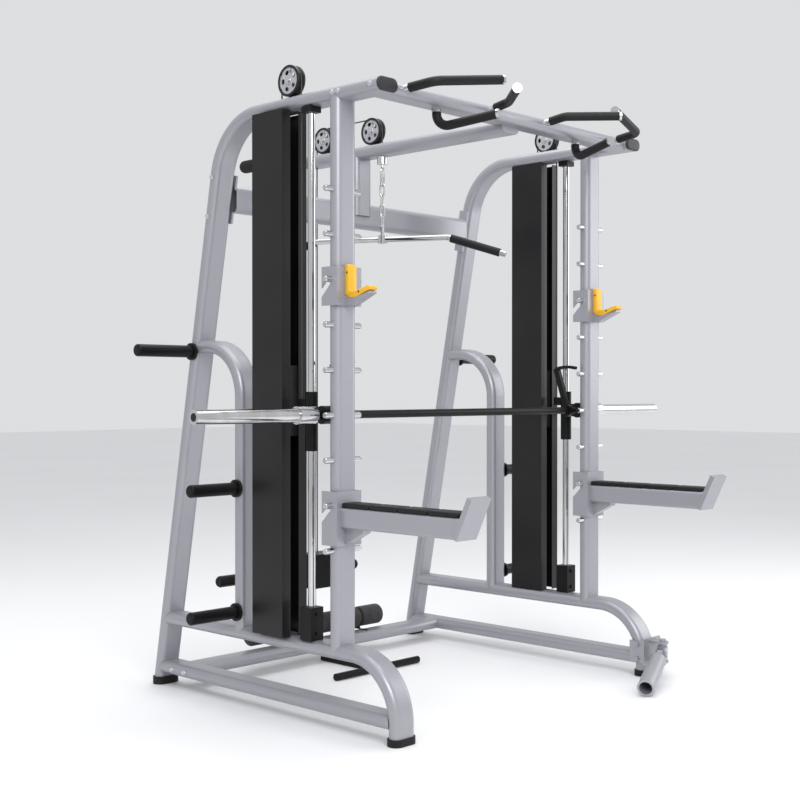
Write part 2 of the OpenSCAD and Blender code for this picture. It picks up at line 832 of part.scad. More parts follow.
// Foot bar near the floor, on a spur from the rear base bar
module foot_bar() at_origin() {
    bar_r = 15;
    foot_bar_y = 568;
    half = 250;
    color(black_paint) {
        rod_x(-half, half, foot_bar_y, bar_r, bar_r);
        difference() {
            translate([-20, foot_bar_y, 2]) cube([40, base_bar_y - foot_bar_y, 46]);
            run_x(-frame_x, frame_x, base_bar_y, base_rail_z) oval();
        }
        difference() {
            translate([-20, base_bar_y - 48, 40]) cube([40, 40, 20]);
            run_x(-frame_x, frame_x, base_bar_y, base_rail_z) oval();
        }
    }
}

// ---------- J hooks and spotter arms, drawn at X = 0 on a peg at Z = 0 ----------

plate_gap = 55;             // from the upright's middle to the bracket's side plates
plate_t = 5;
bracket_back = 45;
slot_play = 0.25;           // play of a peg in a bracket's slot
web_y = -half_t - 1;

arm_w = 84;
arm_h = 72;
arm_low = -78;
arm_high = arm_low + arm_h;
arm_mid = (arm_low + arm_high) / 2;
arm_root_y = web_y - 8;
arm_tip_y = arm_root_y - spotter_reach;
stop_lean = 25;
stop_w = 100;
stop_t = 20;
stop_h = 151;
stop_rise = 118;            // how far the stop plate stands above the arm's middle
disc_r = 44;                // discs on the lat weight posts
stop_front_y = arm_tip_y - stop_t * cos(stop_lean) - stop_rise * sin(stop_lean);
centre_y = (stop_front_y + lat_post_y + disc_r) / 2;

// Side plates and front web of a bracket that wraps the upright
module bracket(low, high) {
    difference() {
        union() {
            for (s = [-1, 1]) translate([s * (plate_gap + plate_t / 2) - plate_t / 2, web_y - 8, low])
                cube([plate_t, bracket_back - web_y + 8, high - low]);
            translate([-plate_gap - plate_t, web_y - 8, low])
                cube([2 * (plate_gap + plate_t), 8, high - low]);
        }
        rotate([-45, 0, 0]) translate([-100, 0, -peg_r - slot_play])
            cube([200, 200, 2 * (peg_r + slot_play)]);
        rod_x(-100, 100, 0, 0, peg_r + slot_play + 0.05);
    }
}

// Outline of a J hook's liner, in the YZ plane
liner_w = 40;
liner = [
    [web_y - 8, 53], [web_y - 26, 53], [web_y - 26, -28], [web_y - 38, -42], [web_y - 60, -42],
    [web_y - 122, -25], [web_y - 130, -33], [web_y - 128, -45], [web_y - 60, -64], [web_y - 30, -66],
    [web_y - 8, -52]
];
// Outline of the shelf under it
shelf = [
    [web_y - 7, -53], [web_y - 30, -67], [web_y - 60, -65], [web_y - 126, -47], [web_y - 126, -53],
    [web_y - 36, -92], [web_y - 7, -92]
];

module j_hook() {
    color(frame_paint) {
        bracket(-92, 46);
        translate([-liner_w / 2, 0, 0]) rotate([90, 0, 90]) linear_extrude(liner_w) polygon(shelf);
    }
}

// Nylon liner that takes the bar
module j_liner() {
    color(hook_yellow) translate([-liner_w / 2, 0, 0]) rotate([90, 0, 90])
        linear_extrude(liner_w) polygon(liner);
}

module on_peg(side, i) {
    translate([side * frame_x, 0, peg_z(i)]) children();
}

module left_j_hook() at_origin() on_peg(-1, hook_peg) j_hook();
module right_j_hook() at_origin() on_peg(1, hook_peg) j_hook();
module left_j_liner() at_origin() on_peg(-1, hook_peg) j_liner();
module right_j_liner() at_origin() on_peg(1, hook_peg) j_liner();

// The arm's box tube, cut off along the stop plate that leans forward at its end
module at_tip() {
    translate([0, arm_tip_y, arm_mid]) rotate([stop_lean, 0, 0]) children();
}

module spotter_arm() {
    wall = 3;
    corner = 11;
    gusset_w = 40;
    color(frame_paint) {
        difference() {
            union() {
                bracket(-142, 51);
                translate([0, arm_root_y + 1, arm_mid]) rotate([90, 0, 0])
                    linear_extrude(spotter_reach + 60) rounded(arm_w, arm_h, corner);
            }
            translate([0, web_y + 1, arm_mid]) rotate([90, 0, 0])
                linear_extrude(spotter_reach + 70)
                    rounded(arm_w - 2 * wall, arm_h - 2 * wall, corner - wall);
            at_tip() translate([-100, -200, -100]) cube(200);
        }
        at_tip() translate([-stop_w / 2, -stop_t, stop_rise - stop_h]) cube([stop_w, stop_t, stop_h]);
        // Gusset under the arm
        translate([-gusset_w / 2, 0, 0]) rotate([90, 0, 90]) linear_extrude(gusset_w)
            polygon([
                [arm_root_y + 1, -138], [arm_root_y + 1, arm_low + 1],
                [-126, arm_low + 1], [-122, arm_low - 14]
            ]);
    }
}

// Rubber pads on top of an arm
module spotter_pad() {
    pads = 4;
    gap = 3;
    pad_t = 18;
    room = spotter_reach - 2;
    pad_len = (room - gap * (pads - 1)) / pads;
    color(black_paint) for (i = [0:pads - 1])
        translate([-arm_w / 2 + 3, arm_root_y - room + i * (pad_len + gap), arm_high])
            cube([arm_w - 6, pad_len, pad_t]);
}

module left_spotter_arm() at_origin() on_peg(-1, spotter_peg) spotter_arm();
module right_spotter_arm() at_origin() on_peg(1, spotter_peg) spotter_arm();
module left_spotter_pad() at_origin() on_peg(-1, spotter_peg) spotter_pad();
module right_spotter_pad() at_origin() on_peg(1, spotter_peg) spotter_pad();

// ---------- pull-up handles ----------

handle_r = 13;
grip_r = 17;
grip_bore = handle_r + 0.5;
// Each handle's centre line, from its root on the crossbar to its free end
outer_handle = [[650, -165, 2262], [623, -331, 2276], [346, -407, 2315]];
inner_handle = [[165, -165, 2262], [175, -292, 2281], [325, -454, 2282]];
drop_handle = [[426, -158, rail_z - tube_t / 2], [426, -158, 2166], [349, -390, 2198]];
handle_bend = 45;
tip_len = 9;                // chrome tip at a handle's free end

// Point on the way from a to b, a given distance from a
function along(a, b, d) = a + unit(b - a) * d;

module handle(points) {
    n = len(points) - 1;
    sweep(points, handle_bend, 0.3) disc(handle_r);
    rod_between(points[n], along(points[n], points[n - 1], tip_len), grip_r);
}

module pull_up_handles() at_origin() {
    color(chrome) both_sides() {
        difference() {
            for (h = [outer_handle, inner_handle]) handle(h);
            run_x(-frame_x, frame_x, front_bar_y, rail_z) oval();
        }
        union() {
            handle(drop_handle);
            rod_between(drop_handle[0] - [0, 0, 0.1], drop_handle[0] - [0, 0, 7], grip_r + 3);
        }
    }
}

// Rubber sleeve on a handle, from a given distance off its root to the tip: two straight
// pieces and one round the bend
module grip(points, first) {
    u = unit(points[1] - points[0]);
    v = unit(points[2] - points[1]);
    clear = bend_trim(points, 1, handle_bend) + 0.3;
    run_between(along(points[0], points[1], first), points[1] - u * clear) ring(grip_r, grip_bore);
    elbow(points[1], u, v, handle_bend, 0) ring(grip_r, grip_bore);
    run_between(points[1] + v * clear, along(points[2], points[1], tip_len + 0.5))
        ring(grip_r, grip_bore);
}

module pull_up_grips() at_origin() {
    color(black_paint) both_sides() {
        grip(outer_handle, 62);
        grip(inner_handle, 62);
        grip(drop_handle, 11);
    }
}

// ---------- landmine, on the right foot ----------

swing = [760, -370];        // upright pin of the landmine
swing_a = 202.5;            // direction the socket points, from +X
dip = 11.8;                 // how far it points down
tilt_z = 105;
tilt_out = 55;              // distance from the upright pin to the cross pin
socket_r = 26;
socket_wall = 34;
socket_len = 341;

module landmine_bracket() at_origin() {
    foot_face = foot_front_y - half_t;
    color(frame_paint) difference() {
        union() {
            translate([frame_x - 62, foot_face - 9, 50]) cube([124, 9, 110]);
            for (z = [60, 140]) translate([0, 0, z]) {
                translate([swing[0] - 24, swing[1], 0]) cube([48, foot_face - swing[1], 10]);
                translate([swing[0], swing[1], 0]) cylinder(h = 10, r = 24);
            }
            for (s = [-1, 1]) {
                translate([frame_x + s * 56.5 - 5, foot_face - 1, 60]) cube([10, tube_t + 14, 90]);
                for (z = [75, 135])
                    translate([frame_x + s * 61, foot_front_y, z]) rotate([0, s * 90, 0]) bolt_head(11, 11);
            }
        }
        translate([frame_x, 0, 0]) foot_path() oval();
        rod_z(swing[0], swing[1], 40, 160, 8 + run);
    }
}

module landmine_yoke() at_origin() {
    ear_gap = 26;
    color(black_paint) translate([swing[0], swing[1], 0]) {
        rod_z(0, 0, 52, 158, 8);
        rod_z(0, 0, 50, 59.5, 13);
        rod_z(0, 0, 150.5, 160, 13);
        rod_z(0, 0, 70.5, 139.5, 18);
        translate([0, 0, tilt_z]) rotate([0, 0, swing_a]) {
            difference() {
                translate([0, -ear_gap / 2 - 8, -26]) cube([tilt_out + 18, ear_gap + 16, 52]);
                translate([30, -ear_gap / 2, -27]) cube([tilt_out, ear_gap, 54]);
            }
            translate([tilt_out, -ear_gap / 2 - 8 - 6, 0]) rotate([-90, 0, 0]) cylinder(h = 6, r = 11);
            translate([tilt_out, -ear_gap / 2 - 8, 0]) rotate([-90, 0, 0]) cylinder(h = ear_gap + 16, r = 7);
            translate([tilt_out, ear_gap / 2 + 8, 0]) rotate([-90, 0, 0]) cylinder(h = 6, r = 11);
        }
    }
}

// Socket for the end of a barbell, on a tongue between the yoke's ears
module landmine_tube() at_origin() {
    back = 62;
    color(chrome) translate([swing[0], swing[1], tilt_z]) rotate([0, 0, swing_a]) translate([tilt_out, 0, 0])
        rotate([0, dip, 0]) {
            difference() {
                union() {
                    rotate([-90, 0, 0]) translate([0, 0, -12]) cylinder(h = 24, r = 18);
                    translate([0, -12, -16]) cube([back, 24, 32]);
                    rotate([0, 90, 0]) translate([0, 0, back])
                        cylinder(h = socket_len - back, r = socket_wall);
                }
                rotate([-90, 0, 0]) translate([0, 0, -20]) cylinder(h = 40, r = 7 + run);
                rotate([0, 90, 0]) translate([0, 0, back + 8]) cylinder(h = socket_len, r = socket_r);
            }
        }
}

left_rear_leg();
right_rear_leg();
left_foot_rail();
right_foot_rail();
left_base_rail();
right_base_rail();
left_upright();
right_upright();
left_post_upright();
right_post_upright();
front_crossbar();
rear_crossbeam();
rear_base_bar();
top_spine();
rubber_feet();
end_caps();
frame_bolts();
left_column_cover();
right_column_cover();
accessory_peg();
guide_rods();
rod_mounts();
pegs();
plate_posts();
pulley_brackets();
left_counter_pulley();
right_counter_pulley();
lat_front_pulley();
lat_rear_pulley();
counterweights();
carriages();
bar_shaft();
bar_sleeves();
bar_hooks();
counter_cable_fronts();
counter_cable_wraps();
counter_cable_rears();
lat_cable_front();
lat_cable_over();
lat_cable_rear();
lat_hanger();
lat_bar();
lat_grips();
lat_carriage();
roller_mount();
foam_roller();
foot_bar();
left_j_hook();
right_j_hook();
left_j_liner();
right_j_liner();
left_spotter_arm();
right_spotter_arm();
left_spotter_pad();
right_spotter_pad();
pull_up_handles();
pull_up_grips();
landmine_bracket();
landmine_yoke();
landmine_tube();
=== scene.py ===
"""Looks of a smith machine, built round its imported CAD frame.

Metres, X along the bar, -Y the front, Z up. Steel that the CAD already has right keeps its
shape and gets a material here. Pulleys, pads, liners, foam, caps, bolts and cables are modelled
again with the detail that a close look needs.
"""

import json
import math

import bmesh
import bpy
from mathutils import Matrix, Vector


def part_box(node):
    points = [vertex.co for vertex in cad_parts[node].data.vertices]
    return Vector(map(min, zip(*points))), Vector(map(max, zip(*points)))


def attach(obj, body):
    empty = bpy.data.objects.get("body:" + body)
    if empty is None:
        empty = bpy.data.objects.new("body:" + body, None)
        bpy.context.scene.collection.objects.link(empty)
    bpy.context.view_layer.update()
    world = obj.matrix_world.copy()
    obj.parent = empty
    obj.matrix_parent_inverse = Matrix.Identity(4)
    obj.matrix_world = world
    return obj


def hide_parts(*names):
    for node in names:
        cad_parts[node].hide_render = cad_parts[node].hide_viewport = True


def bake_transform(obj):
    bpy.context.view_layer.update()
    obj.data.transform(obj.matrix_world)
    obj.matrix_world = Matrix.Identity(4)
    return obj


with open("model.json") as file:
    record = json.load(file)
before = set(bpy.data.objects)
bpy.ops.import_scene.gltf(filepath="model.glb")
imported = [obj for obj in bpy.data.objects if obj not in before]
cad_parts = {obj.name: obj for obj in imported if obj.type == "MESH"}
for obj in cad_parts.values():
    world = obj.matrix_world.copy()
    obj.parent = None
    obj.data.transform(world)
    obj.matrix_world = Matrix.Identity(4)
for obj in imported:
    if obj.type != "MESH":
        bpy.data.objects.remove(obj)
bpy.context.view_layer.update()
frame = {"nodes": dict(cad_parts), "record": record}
NODES = frame["nodes"]
SIDES = ("left", "right")


# ---------- camera ----------

CAMERA_AT = (-3.896, -3.575, 1.208)
CAMERA_AZIMUTH = -46.14
CAMERA_ELEVATION = 0.43
CAMERA_LENS = 57.6


def make_camera():
    """A camera at the front left, at chest height."""
    data = bpy.data.cameras.new("camera")
    data.lens, data.sensor_width = CAMERA_LENS, 36
    data.clip_end = 60
    camera = bpy.data.objects.new("camera", data)
    bpy.context.collection.objects.link(camera)
    a, e = math.radians(CAMERA_AZIMUTH), math.radians(CAMERA_ELEVATION)
    back = Vector((math.sin(a) * math.cos(e), -math.cos(a) * math.cos(e), math.sin(e)))
    camera.location = CAMERA_AT
    camera.rotation_mode = "QUATERNION"
    camera.rotation_quaternion = (-back).to_track_quat("-Z", "Y")
    bpy.context.scene.camera = camera


make_camera()


# ---------- materials ----------


def new_material(name, colour, metallic, roughness):
    """A material with a Principled shader, and what is needed to add nodes to it."""
    mat = bpy.data.materials.new(name)
    mat.use_nodes = True
    mat.diffuse_color = (*colour, 1)
    tree = mat.node_tree
    shader = tree.nodes["Principled BSDF"]
    shader.inputs["Base Color"].default_value = (*colour, 1)
    shader.inputs["Metallic"].default_value = metallic
    shader.inputs["Roughness"].default_value = roughness
    return mat, tree, shader


def place(tree, stretch=(1, 1, 1)):
    """Object coordinates, in metres, stretched as asked."""
    where = tree.nodes.new("ShaderNodeTexCoord")
    mapping = tree.nodes.new("ShaderNodeMapping")
    mapping.inputs["Scale"].default_value = stretch
    tree.links.new(where.outputs["Object"], mapping.inputs["Vector"])
    return mapping.outputs["Vector"]


def noise(tree, scale, detail=3.0, stretch=(1, 1, 1)):
    node = tree.nodes.new("ShaderNodeTexNoise")
    node.inputs["Scale"].default_value = scale
    node.inputs["Detail"].default_value = detail
    tree.links.new(place(tree, stretch), node.inputs["Vector"])
    return node.outputs["Fac"]


def between(tree, fac, low, high):
    """fac, from 0 to 1, as a number from low to high."""
    node = tree.nodes.new("ShaderNodeMapRange")
    node.inputs["To Min"].default_value = low
    node.inputs["To Max"].default_value = high
    tree.links.new(fac, node.inputs["Value"])
    return node.outputs["Result"]


def tint(tree, shader, fac, dark, light):
    """Base colour that wanders between two colours."""
    ramp = tree.nodes.new("ShaderNodeValToRGB")
    ramp.color_ramp.elements[0].position = 0.35
    ramp.color_ramp.elements[0].color = (*dark, 1)
    ramp.color_ramp.elements[1].position = 0.65
    ramp.color_ramp.elements[1].color = (*light, 1)
    tree.links.new(fac, ramp.inputs["Fac"])
    tree.links.new(ramp.outputs["Color"], shader.inputs["Base Color"])


def bump(tree, shader, fac, height, strength=1.0):
    """Relief of a given height in metres."""
    node = tree.nodes.new("ShaderNodeBump")
    node.inputs["Distance"].default_value = height
    node.inputs["Strength"].default_value = strength
    tree.links.new(fac, node.inputs["Height"])
    tree.links.new(node.outputs["Normal"], shader.inputs["Normal"])


def shades(colour, spread):
    return [c * (1 - spread) for c in colour], [min(1, c * (1 + spread)) for c in colour]


def surface(name, colour, metallic, roughness, spread, grain, height, glint=0.5):
    """Material with soft patches in its colour and gloss, and a fine grain in its relief."""
    mat, tree, shader = new_material(name, colour, metallic, roughness)
    shader.inputs["Specular IOR Level"].default_value = glint
    broad = noise(tree, 6.0, 4.0)
    tint(tree, shader, broad, *shades(colour, spread))
    tree.links.new(
        between(tree, broad, roughness * 0.85, roughness * 1.15), shader.inputs["Roughness"]
    )
    bump(tree, shader, noise(tree, grain, 2.0), height, 0.5)
    return mat


def frame_paint():
    """Silver-grey powder coat: metallic flakes under a thin clear coat, with faint orange peel."""
    colour = (0.35, 0.35, 0.385)
    mat, tree, shader = new_material("silver_paint", colour, 0.45, 0.36)
    flakes = noise(tree, 1500, 1.0)
    tint(tree, shader, flakes, *shades(colour, 0.07))
    tree.links.new(between(tree, noise(tree, 5, 3.0), 0.33, 0.43), shader.inputs["Roughness"])
    bump(tree, shader, noise(tree, 220, 2.0), 0.00012, 0.4)
    shader.inputs["Coat Weight"].default_value = 0.15
    shader.inputs["Coat Roughness"].default_value = 0.2
    return mat


def chrome():
    """Polished chrome with faint smears in its gloss."""
    mat, tree, shader = new_material("polished_chrome", (0.60, 0.60, 0.60), 1.0, 0.1)
    smears = noise(tree, 14, 4.0, (1, 1, 0.2))
    tree.links.new(between(tree, smears, 0.06, 0.16), shader.inputs["Roughness"])
    tint(tree, shader, smears, (0.55, 0.55, 0.55), (0.66, 0.66, 0.665))
    bump(tree, shader, noise(tree, 400, 1.0), 0.00002, 0.2)
    return mat


def cable_skin():
    """Black coating over a twisted steel cable, whose strands show as slanted ridges."""
    mat, tree, shader = new_material("cable_skin", (0.025, 0.025, 0.027), 0.0, 0.4)
    wave = tree.nodes.new("ShaderNodeTexWave")
    wave.bands_direction = "DIAGONAL"
    wave.inputs["Scale"].default_value = 90
    tree.links.new(place(tree), wave.inputs["Vector"])
    bump(tree, shader, wave.outputs["Fac"], 0.0002, 0.6)
    tree.links.new(between(tree, noise(tree, 60), 0.32, 0.5), shader.inputs["Roughness"])
    return mat


def foam():
    """Closed black foam: a skin full of small pores."""
    mat, tree, shader = new_material("foam", (0.02, 0.02, 0.021), 0.0, 0.75)
    pores = tree.nodes.new("ShaderNodeTexVoronoi")
    pores.inputs["Scale"].default_value = 500
    tree.links.new(place(tree), pores.inputs["Vector"])
    bump(tree, shader, pores.outputs["Distance"], 0.0005, 0.6)
    tint(tree, shader, noise(tree, 25, 4.0), (0.014, 0.014, 0.015), (0.03, 0.03, 0.031))
    shader.inputs["Sheen Weight"].default_value = 0.15
    return mat


PAINT = frame_paint()
CHROME = chrome()
CABLE = cable_skin()
FOAM = foam()
BLACK = surface("satin_black", (0.007, 0.007, 0.0075), 0.0, 0.34, 0.2, 300, 0.0001, 0.16)
RUBBER = surface("black_rubber", (0.007, 0.007, 0.0075), 0.0, 0.55, 0.25, 700, 0.0003, 0.3)
PLASTIC = surface("black_plastic", (0.009, 0.009, 0.0095), 0.0, 0.3, 0.15, 900, 0.0001, 0.3)
CAP = surface("grey_cap", (0.028, 0.028, 0.031), 0.0, 0.4, 0.15, 900, 0.0002, 0.3)
DISC = surface("grey_disc", (0.42, 0.42, 0.45), 0.25, 0.35, 0.05, 500, 0.00006)
NYLON = surface("yellow_nylon", (0.83, 0.45, 0.02), 0.0, 0.36, 0.06, 350, 0.0001)
STEEL = surface("zinc_steel", (0.62, 0.62, 0.63), 1.0, 0.28, 0.06, 600, 0.00004)
IRON = surface("cast_iron", (0.03, 0.03, 0.032), 0.3, 0.6, 0.3, 160, 0.0006)

SLOT_MATERIAL = {
    "frame_paint": PAINT,
    "black_paint": BLACK,
    "chrome": CHROME,
    "plain_steel": STEEL,
    "cast_iron": IRON,
    "black_rubber": RUBBER,
    "foam": FOAM,
    "black_plastic": PLASTIC,
    "grey_plastic": DISC,
    "yellow_nylon": NYLON,
    "cable": CABLE,
}
OWN_MATERIAL = {"end_caps": CAP, "landmine_tube": PAINT, "landmine_yoke": PAINT}


def paint_cad():
    """Every CAD node takes the material of its slot in the record."""
    for part in frame["record"]["subparts"]:
        node = part["node"]
        mat = OWN_MATERIAL.get(node, SLOT_MATERIAL[part["material_slot"]])
        mesh = NODES[node].data
        mesh.materials.clear()
        mesh.materials.append(mat)


paint_cad()


# ---------- mesh helpers ----------


def piece(name, bm, mat, body, replaces=(), angle=35):
    """Turns a bmesh into a piece that rides on a body, smooth except at sharp edges."""
    bmesh.ops.remove_doubles(bm, verts=bm.verts, dist=1e-6)
    bmesh.ops.recalc_face_normals(bm, faces=bm.faces)
    mesh = bpy.data.meshes.new(name)
    bm.to_mesh(mesh)
    bm.free()
    mesh.polygons.foreach_set("use_smooth", [True] * len(mesh.polygons))
    mesh.set_sharp_from_angle(angle=math.radians(angle))
    mesh.materials.append(mat)
    obj = bpy.data.objects.new(name, mesh)
    bpy.context.collection.objects.link(obj)
    if body:
        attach(obj, body)
    if replaces:
        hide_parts(*replaces)
    return obj


def revolve(bm, profile, steps=64, closed=True, to=None):
    """Adds a solid of revolution about X. profile is a list of (along, radius).

    A closed profile goes back to its first point. An open one gets a flat face at either end.
    """
    to = to or Matrix.Identity(4)
    rings = []
    for along, radius in profile:
        ring = []
        for k in range(steps):
            t = 2 * math.pi * k / steps
            at = Vector((along, radius * math.cos(t), radius * math.sin(t)))
            ring.append(bm.verts.new(to @ at))
        rings.append(ring)
    following = rings[1:] + rings[:1] if closed else rings[1:]
    for a, b in zip(rings, following):
        for k in range(steps):
            n = (k + 1) % steps
            bm.faces.new((a[k], a[n], b[n], b[k]))
    if not closed:
        bm.faces.new(rings[0])
        bm.faces.new(rings[-1])


def arc(centre, radius, start, end, steps=6):
    """Points on an arc, angles in degrees."""
    turn = [math.radians(start + (end - start) * k / steps) for k in range(steps + 1)]
    return [(centre[0] + radius * math.cos(t), centre[1] + radius * math.sin(t)) for t in turn]


def rounded_rod(x0, x1, radius, edge, bore=0.0):
    """Profile of a rod along X with round edges, hollow where bore is given."""
    outer = arc((x0 + edge, radius - edge), edge, 180, 90)
    outer += arc((x1 - edge, radius - edge), edge, 90, 0)
    return [(x0, bore)] + outer + [(x1, bore)] if bore else outer


def soft_box(bm, low, high, edge, steps=3):
    """Adds a box with round edges."""
    low, high = Vector(low), Vector(high)
    made = bmesh.ops.create_cube(bm, size=1.0)["verts"]
    bmesh.ops.scale(bm, vec=high - low, verts=made)
    bmesh.ops.translate(bm, vec=(low + high) / 2, verts=made)
    edges = list({e for v in made for e in v.link_edges})
    bmesh.ops.bevel(bm, geom=edges, offset=edge, segments=steps, profile=0.5, affect="EDGES")


def extrude_outline(bm, outline, x0, x1, edge=0.0):
    """Adds a plate whose outline lies in the YZ plane, from x0 to x1, with its rims rounded."""
    near = [bm.verts.new((x0, y, z)) for y, z in outline]
    face = bm.faces.new(near)
    out = bmesh.ops.extrude_face_region(bm, geom=[face])["geom"]
    moved = [g for g in out if isinstance(g, bmesh.types.BMVert)]
    bmesh.ops.translate(bm, vec=(x1 - x0, 0, 0), verts=moved)
    bm.normal_update()
    if edge:
        rims = [e for e in bm.edges if len({round(v.co.x, 6) for v in e.verts}) == 1]
        bmesh.ops.bevel(bm, geom=rims, offset=edge, segments=2, profile=0.5, affect="EDGES")


def middle(node):
    low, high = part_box(node)
    return (Vector(low) + Vector(high)) / 2


def islands(node, reach):
    """(low, high) corners of each solid of a node, if its solids are further apart than reach."""
    found = []
    for v in NODES[node].data.vertices:
        for low, high in found:
            if all(low[k] - reach < v.co[k] < high[k] + reach for k in range(3)):
                for k in range(3):
                    low[k], high[k] = min(low[k], v.co[k]), max(high[k], v.co[k])
                break
        else:
            found.append((list(v.co), list(v.co)))
    return found


# ---------- pulleys ----------

PULLEYS = (
    ("left_counter_pulley", "left_pulley"),
    ("right_counter_pulley", "right_pulley"),
    ("lat_front_pulley", "lat_pulley_front"),
    ("lat_rear_pulley", "lat_pulley_rear"),
)
WINDOWS = 5
WINDOW_HALF_WIDTH = 0.46  # of half the disc's width
WINDOW_HALF_ANGLE = 0.27  # of a window's share of the turn
WINDOW_STEPS = 20
HUB_R = 0.0145
AXLE_HOLE_R = 0.0052
DISC_INNER_R = 0.013
GROOVE_DEPTH = 0.0065


def pulley_disc(bm, x0, x1, inner, outer, to):
    """One side disc of a pulley: a hub ring, spokes and a rim ring round five oval windows."""
    steps = WINDOW_STEPS
    mid, half = (inner + outer) / 2, (outer - inner) / 2
    span = 2 * math.pi / WINDOWS
    for w in range(WINDOWS):
        base = w * span
        window, frame_line = [], []
        for k in range(steps):
            t = 2 * math.pi * k / steps
            c, d = math.cos(t), math.sin(t)
            across, turned = half * WINDOW_HALF_WIDTH * c, span * WINDOW_HALF_ANGLE * d
            window.append((mid + across, base + turned))
            big = max(abs(c), abs(d))
            frame_line.append((mid + half * c / big, base + span * 0.5 * d / big))
        layers = []
        for x in (x0, x1):
            for loop in (window, frame_line):
                at = [Vector((x, r * math.cos(a), r * math.sin(a))) for r, a in loop]
                layers.append([bm.verts.new(to @ v) for v in at])
        win0, out0, win1, out1 = layers
        for k in range(steps):
            n = (k + 1) % steps
            for a, b in ((win0, out0), (out1, win1), (win1, win0), (out0, out1)):
                bm.faces.new((a[k], a[n], b[n], b[k]))


def make_pulleys():
    """Black grooved rims with grey side discs and a steel hub."""
    for node, body in PULLEYS:
        low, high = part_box(node)
        centre = middle(node)
        radius, half_w = (high[2] - low[2]) / 2, (high[0] - low[0]) / 2
        to = Matrix.Translation(centre)
        groove, lip, bead = radius - GROOVE_DEPTH, 0.0025, 0.0045
        rim_inner, disc_outer = radius * 0.84, radius * 0.86
        rim = (
            [(-half_w, rim_inner)]
            + arc((-half_w + lip, radius - lip), lip, 180, 90, 4)
            + [(-bead - 0.004, radius), (-bead, groove), (bead, groove), (bead + 0.004, radius)]
            + arc((half_w - lip, radius - lip), lip, 90, 0, 4)
            + [(half_w, rim_inner)]
        )
        bm = bmesh.new()
        revolve(bm, rim, 72, True, to)
        piece(node + "_rim", bm, PLASTIC, body, (node,))
        bm = bmesh.new()
        for side in (-1, 1):
            faces = sorted((side * (half_w - 0.003), side * (half_w - 0.006)))
            pulley_disc(bm, *faces, DISC_INNER_R, disc_outer, to)
        piece(node + "_discs", bm, DISC, body)
        bm = bmesh.new()
        revolve(bm, rounded_rod(-half_w, half_w, HUB_R, 0.0015, AXLE_HOLE_R), 40, True, to)
        piece(node + "_hub", bm, STEEL, body)


make_pulleys()


# ---------- upright cables ---------------------

CABLE_R = 0.0028


def straight_cable(name, node, top, low):
    """Upright runs of cable, one for each island of the node."""
    lows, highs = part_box(node)
    x_out = highs[0] - CABLE_R
    bm = bmesh.new()
    upright = Matrix.Rotation(-math.pi / 2, 4, "Y")
    for x in (-x_out, x_out) if x_out > 0.01 else (0.0,):
        at = Matrix.Translation((x, (lows[1] + highs[1]) / 2, 0)) @ upright
        revolve(bm, [(low, CABLE_R), (top, CABLE_R)], 16, False, at)
    obj = piece(name, bm, CABLE, None, (node,))
    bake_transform(obj)
    return obj


def make_cables():
    for name, node, body in (
        ("counter_cable_front_runs", "counter_cable_fronts", "bar_carriage"),
        ("counter_cable_rear_runs", "counter_cable_rears", "counterweight"),
        ("lat_cable_front_run", "lat_cable_front", "hanger"),
        ("lat_cable_rear_run", "lat_cable_rear", "weight_carriage"),
    ):
        low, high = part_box(node)
        straight_cable(name, node, high[2], low[2])


make_cables()


# ---------- rubber, foam and plastic ----------

PADS = 4
PAD_GAP = 0.003
PAD_EDGE = 0.0075
LINER_EDGE = 0.0015
SCREW_PROFILE = [(-0.0012, 0.0035), (-0.0006, 0.0042), (0.001, 0.0042)]


def make_spotter_pads():
    """Strips of rubber with rounded edges and a shallow groove between each two."""
    for side in SIDES:
        low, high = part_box(side + "_spotter_pad")
        length = (high[1] - low[1] - PAD_GAP * (PADS - 1)) / PADS
        bm = bmesh.new()
        for i in range(PADS):
            y = low[1] + i * (length + PAD_GAP)
            soft_box(bm, (low[0], y, low[2]), (high[0], y + length, high[2]), PAD_EDGE, 4)
        piece(side + "_pad_strips", bm, RUBBER, side + "_arm", (side + "_spotter_pad",))


def make_liners():
    """The J hooks' nylon liners, with rounded rims and a countersunk screw in each lip."""
    for side in SIDES:
        low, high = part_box(side + "_j_liner")
        back, front, bottom, top = high[1], low[1], low[2], high[2]
        wall = 0.018
        outline = (
            [(back, top), (back - wall * 0.6, top)]
            + arc((back - wall * 0.6, top - 0.007), 0.007, 90, 180, 4)[1:]
            + arc((back - wall - 0.012, bottom + 0.036), 0.012, 0, -90, 5)
            + [(back - 0.054, bottom + 0.0235), (front + 0.012, bottom + 0.0395)]
            + arc((front + 0.008, bottom + 0.0315), 0.008, 90, 250, 5)
            + [(back - 0.052, bottom + 0.001)]
            + arc((back - 0.024, bottom + 0.008), 0.008, 250, 300, 3)
            + [(back, bottom + 0.014)]
        )
        bm = bmesh.new()
        extrude_outline(bm, outline, low[0], high[0], LINER_EDGE)
        piece(side + "_liner", bm, NYLON, side + "_hook", (side + "_j_liner",), 50)
        bm = bmesh.new()
        in_lip = back - 0.55 * (back - front)
        for y, z in ((back - wall / 2, bottom + 0.09), (in_lip, bottom + 0.02)):
            screw = Matrix.Translation((low[0] + 0.0006, y, z))
            revolve(bm, SCREW_PROFILE, 20, False, screw)
        piece(side + "_liner_screws", bm, IRON, side + "_hook")


ROLLER_PLATE_X = 0.248
ROLLER_PLATE_T = 0.008
ROLLER_GAP = 0.002
ROLLER_BORE = 0.0125


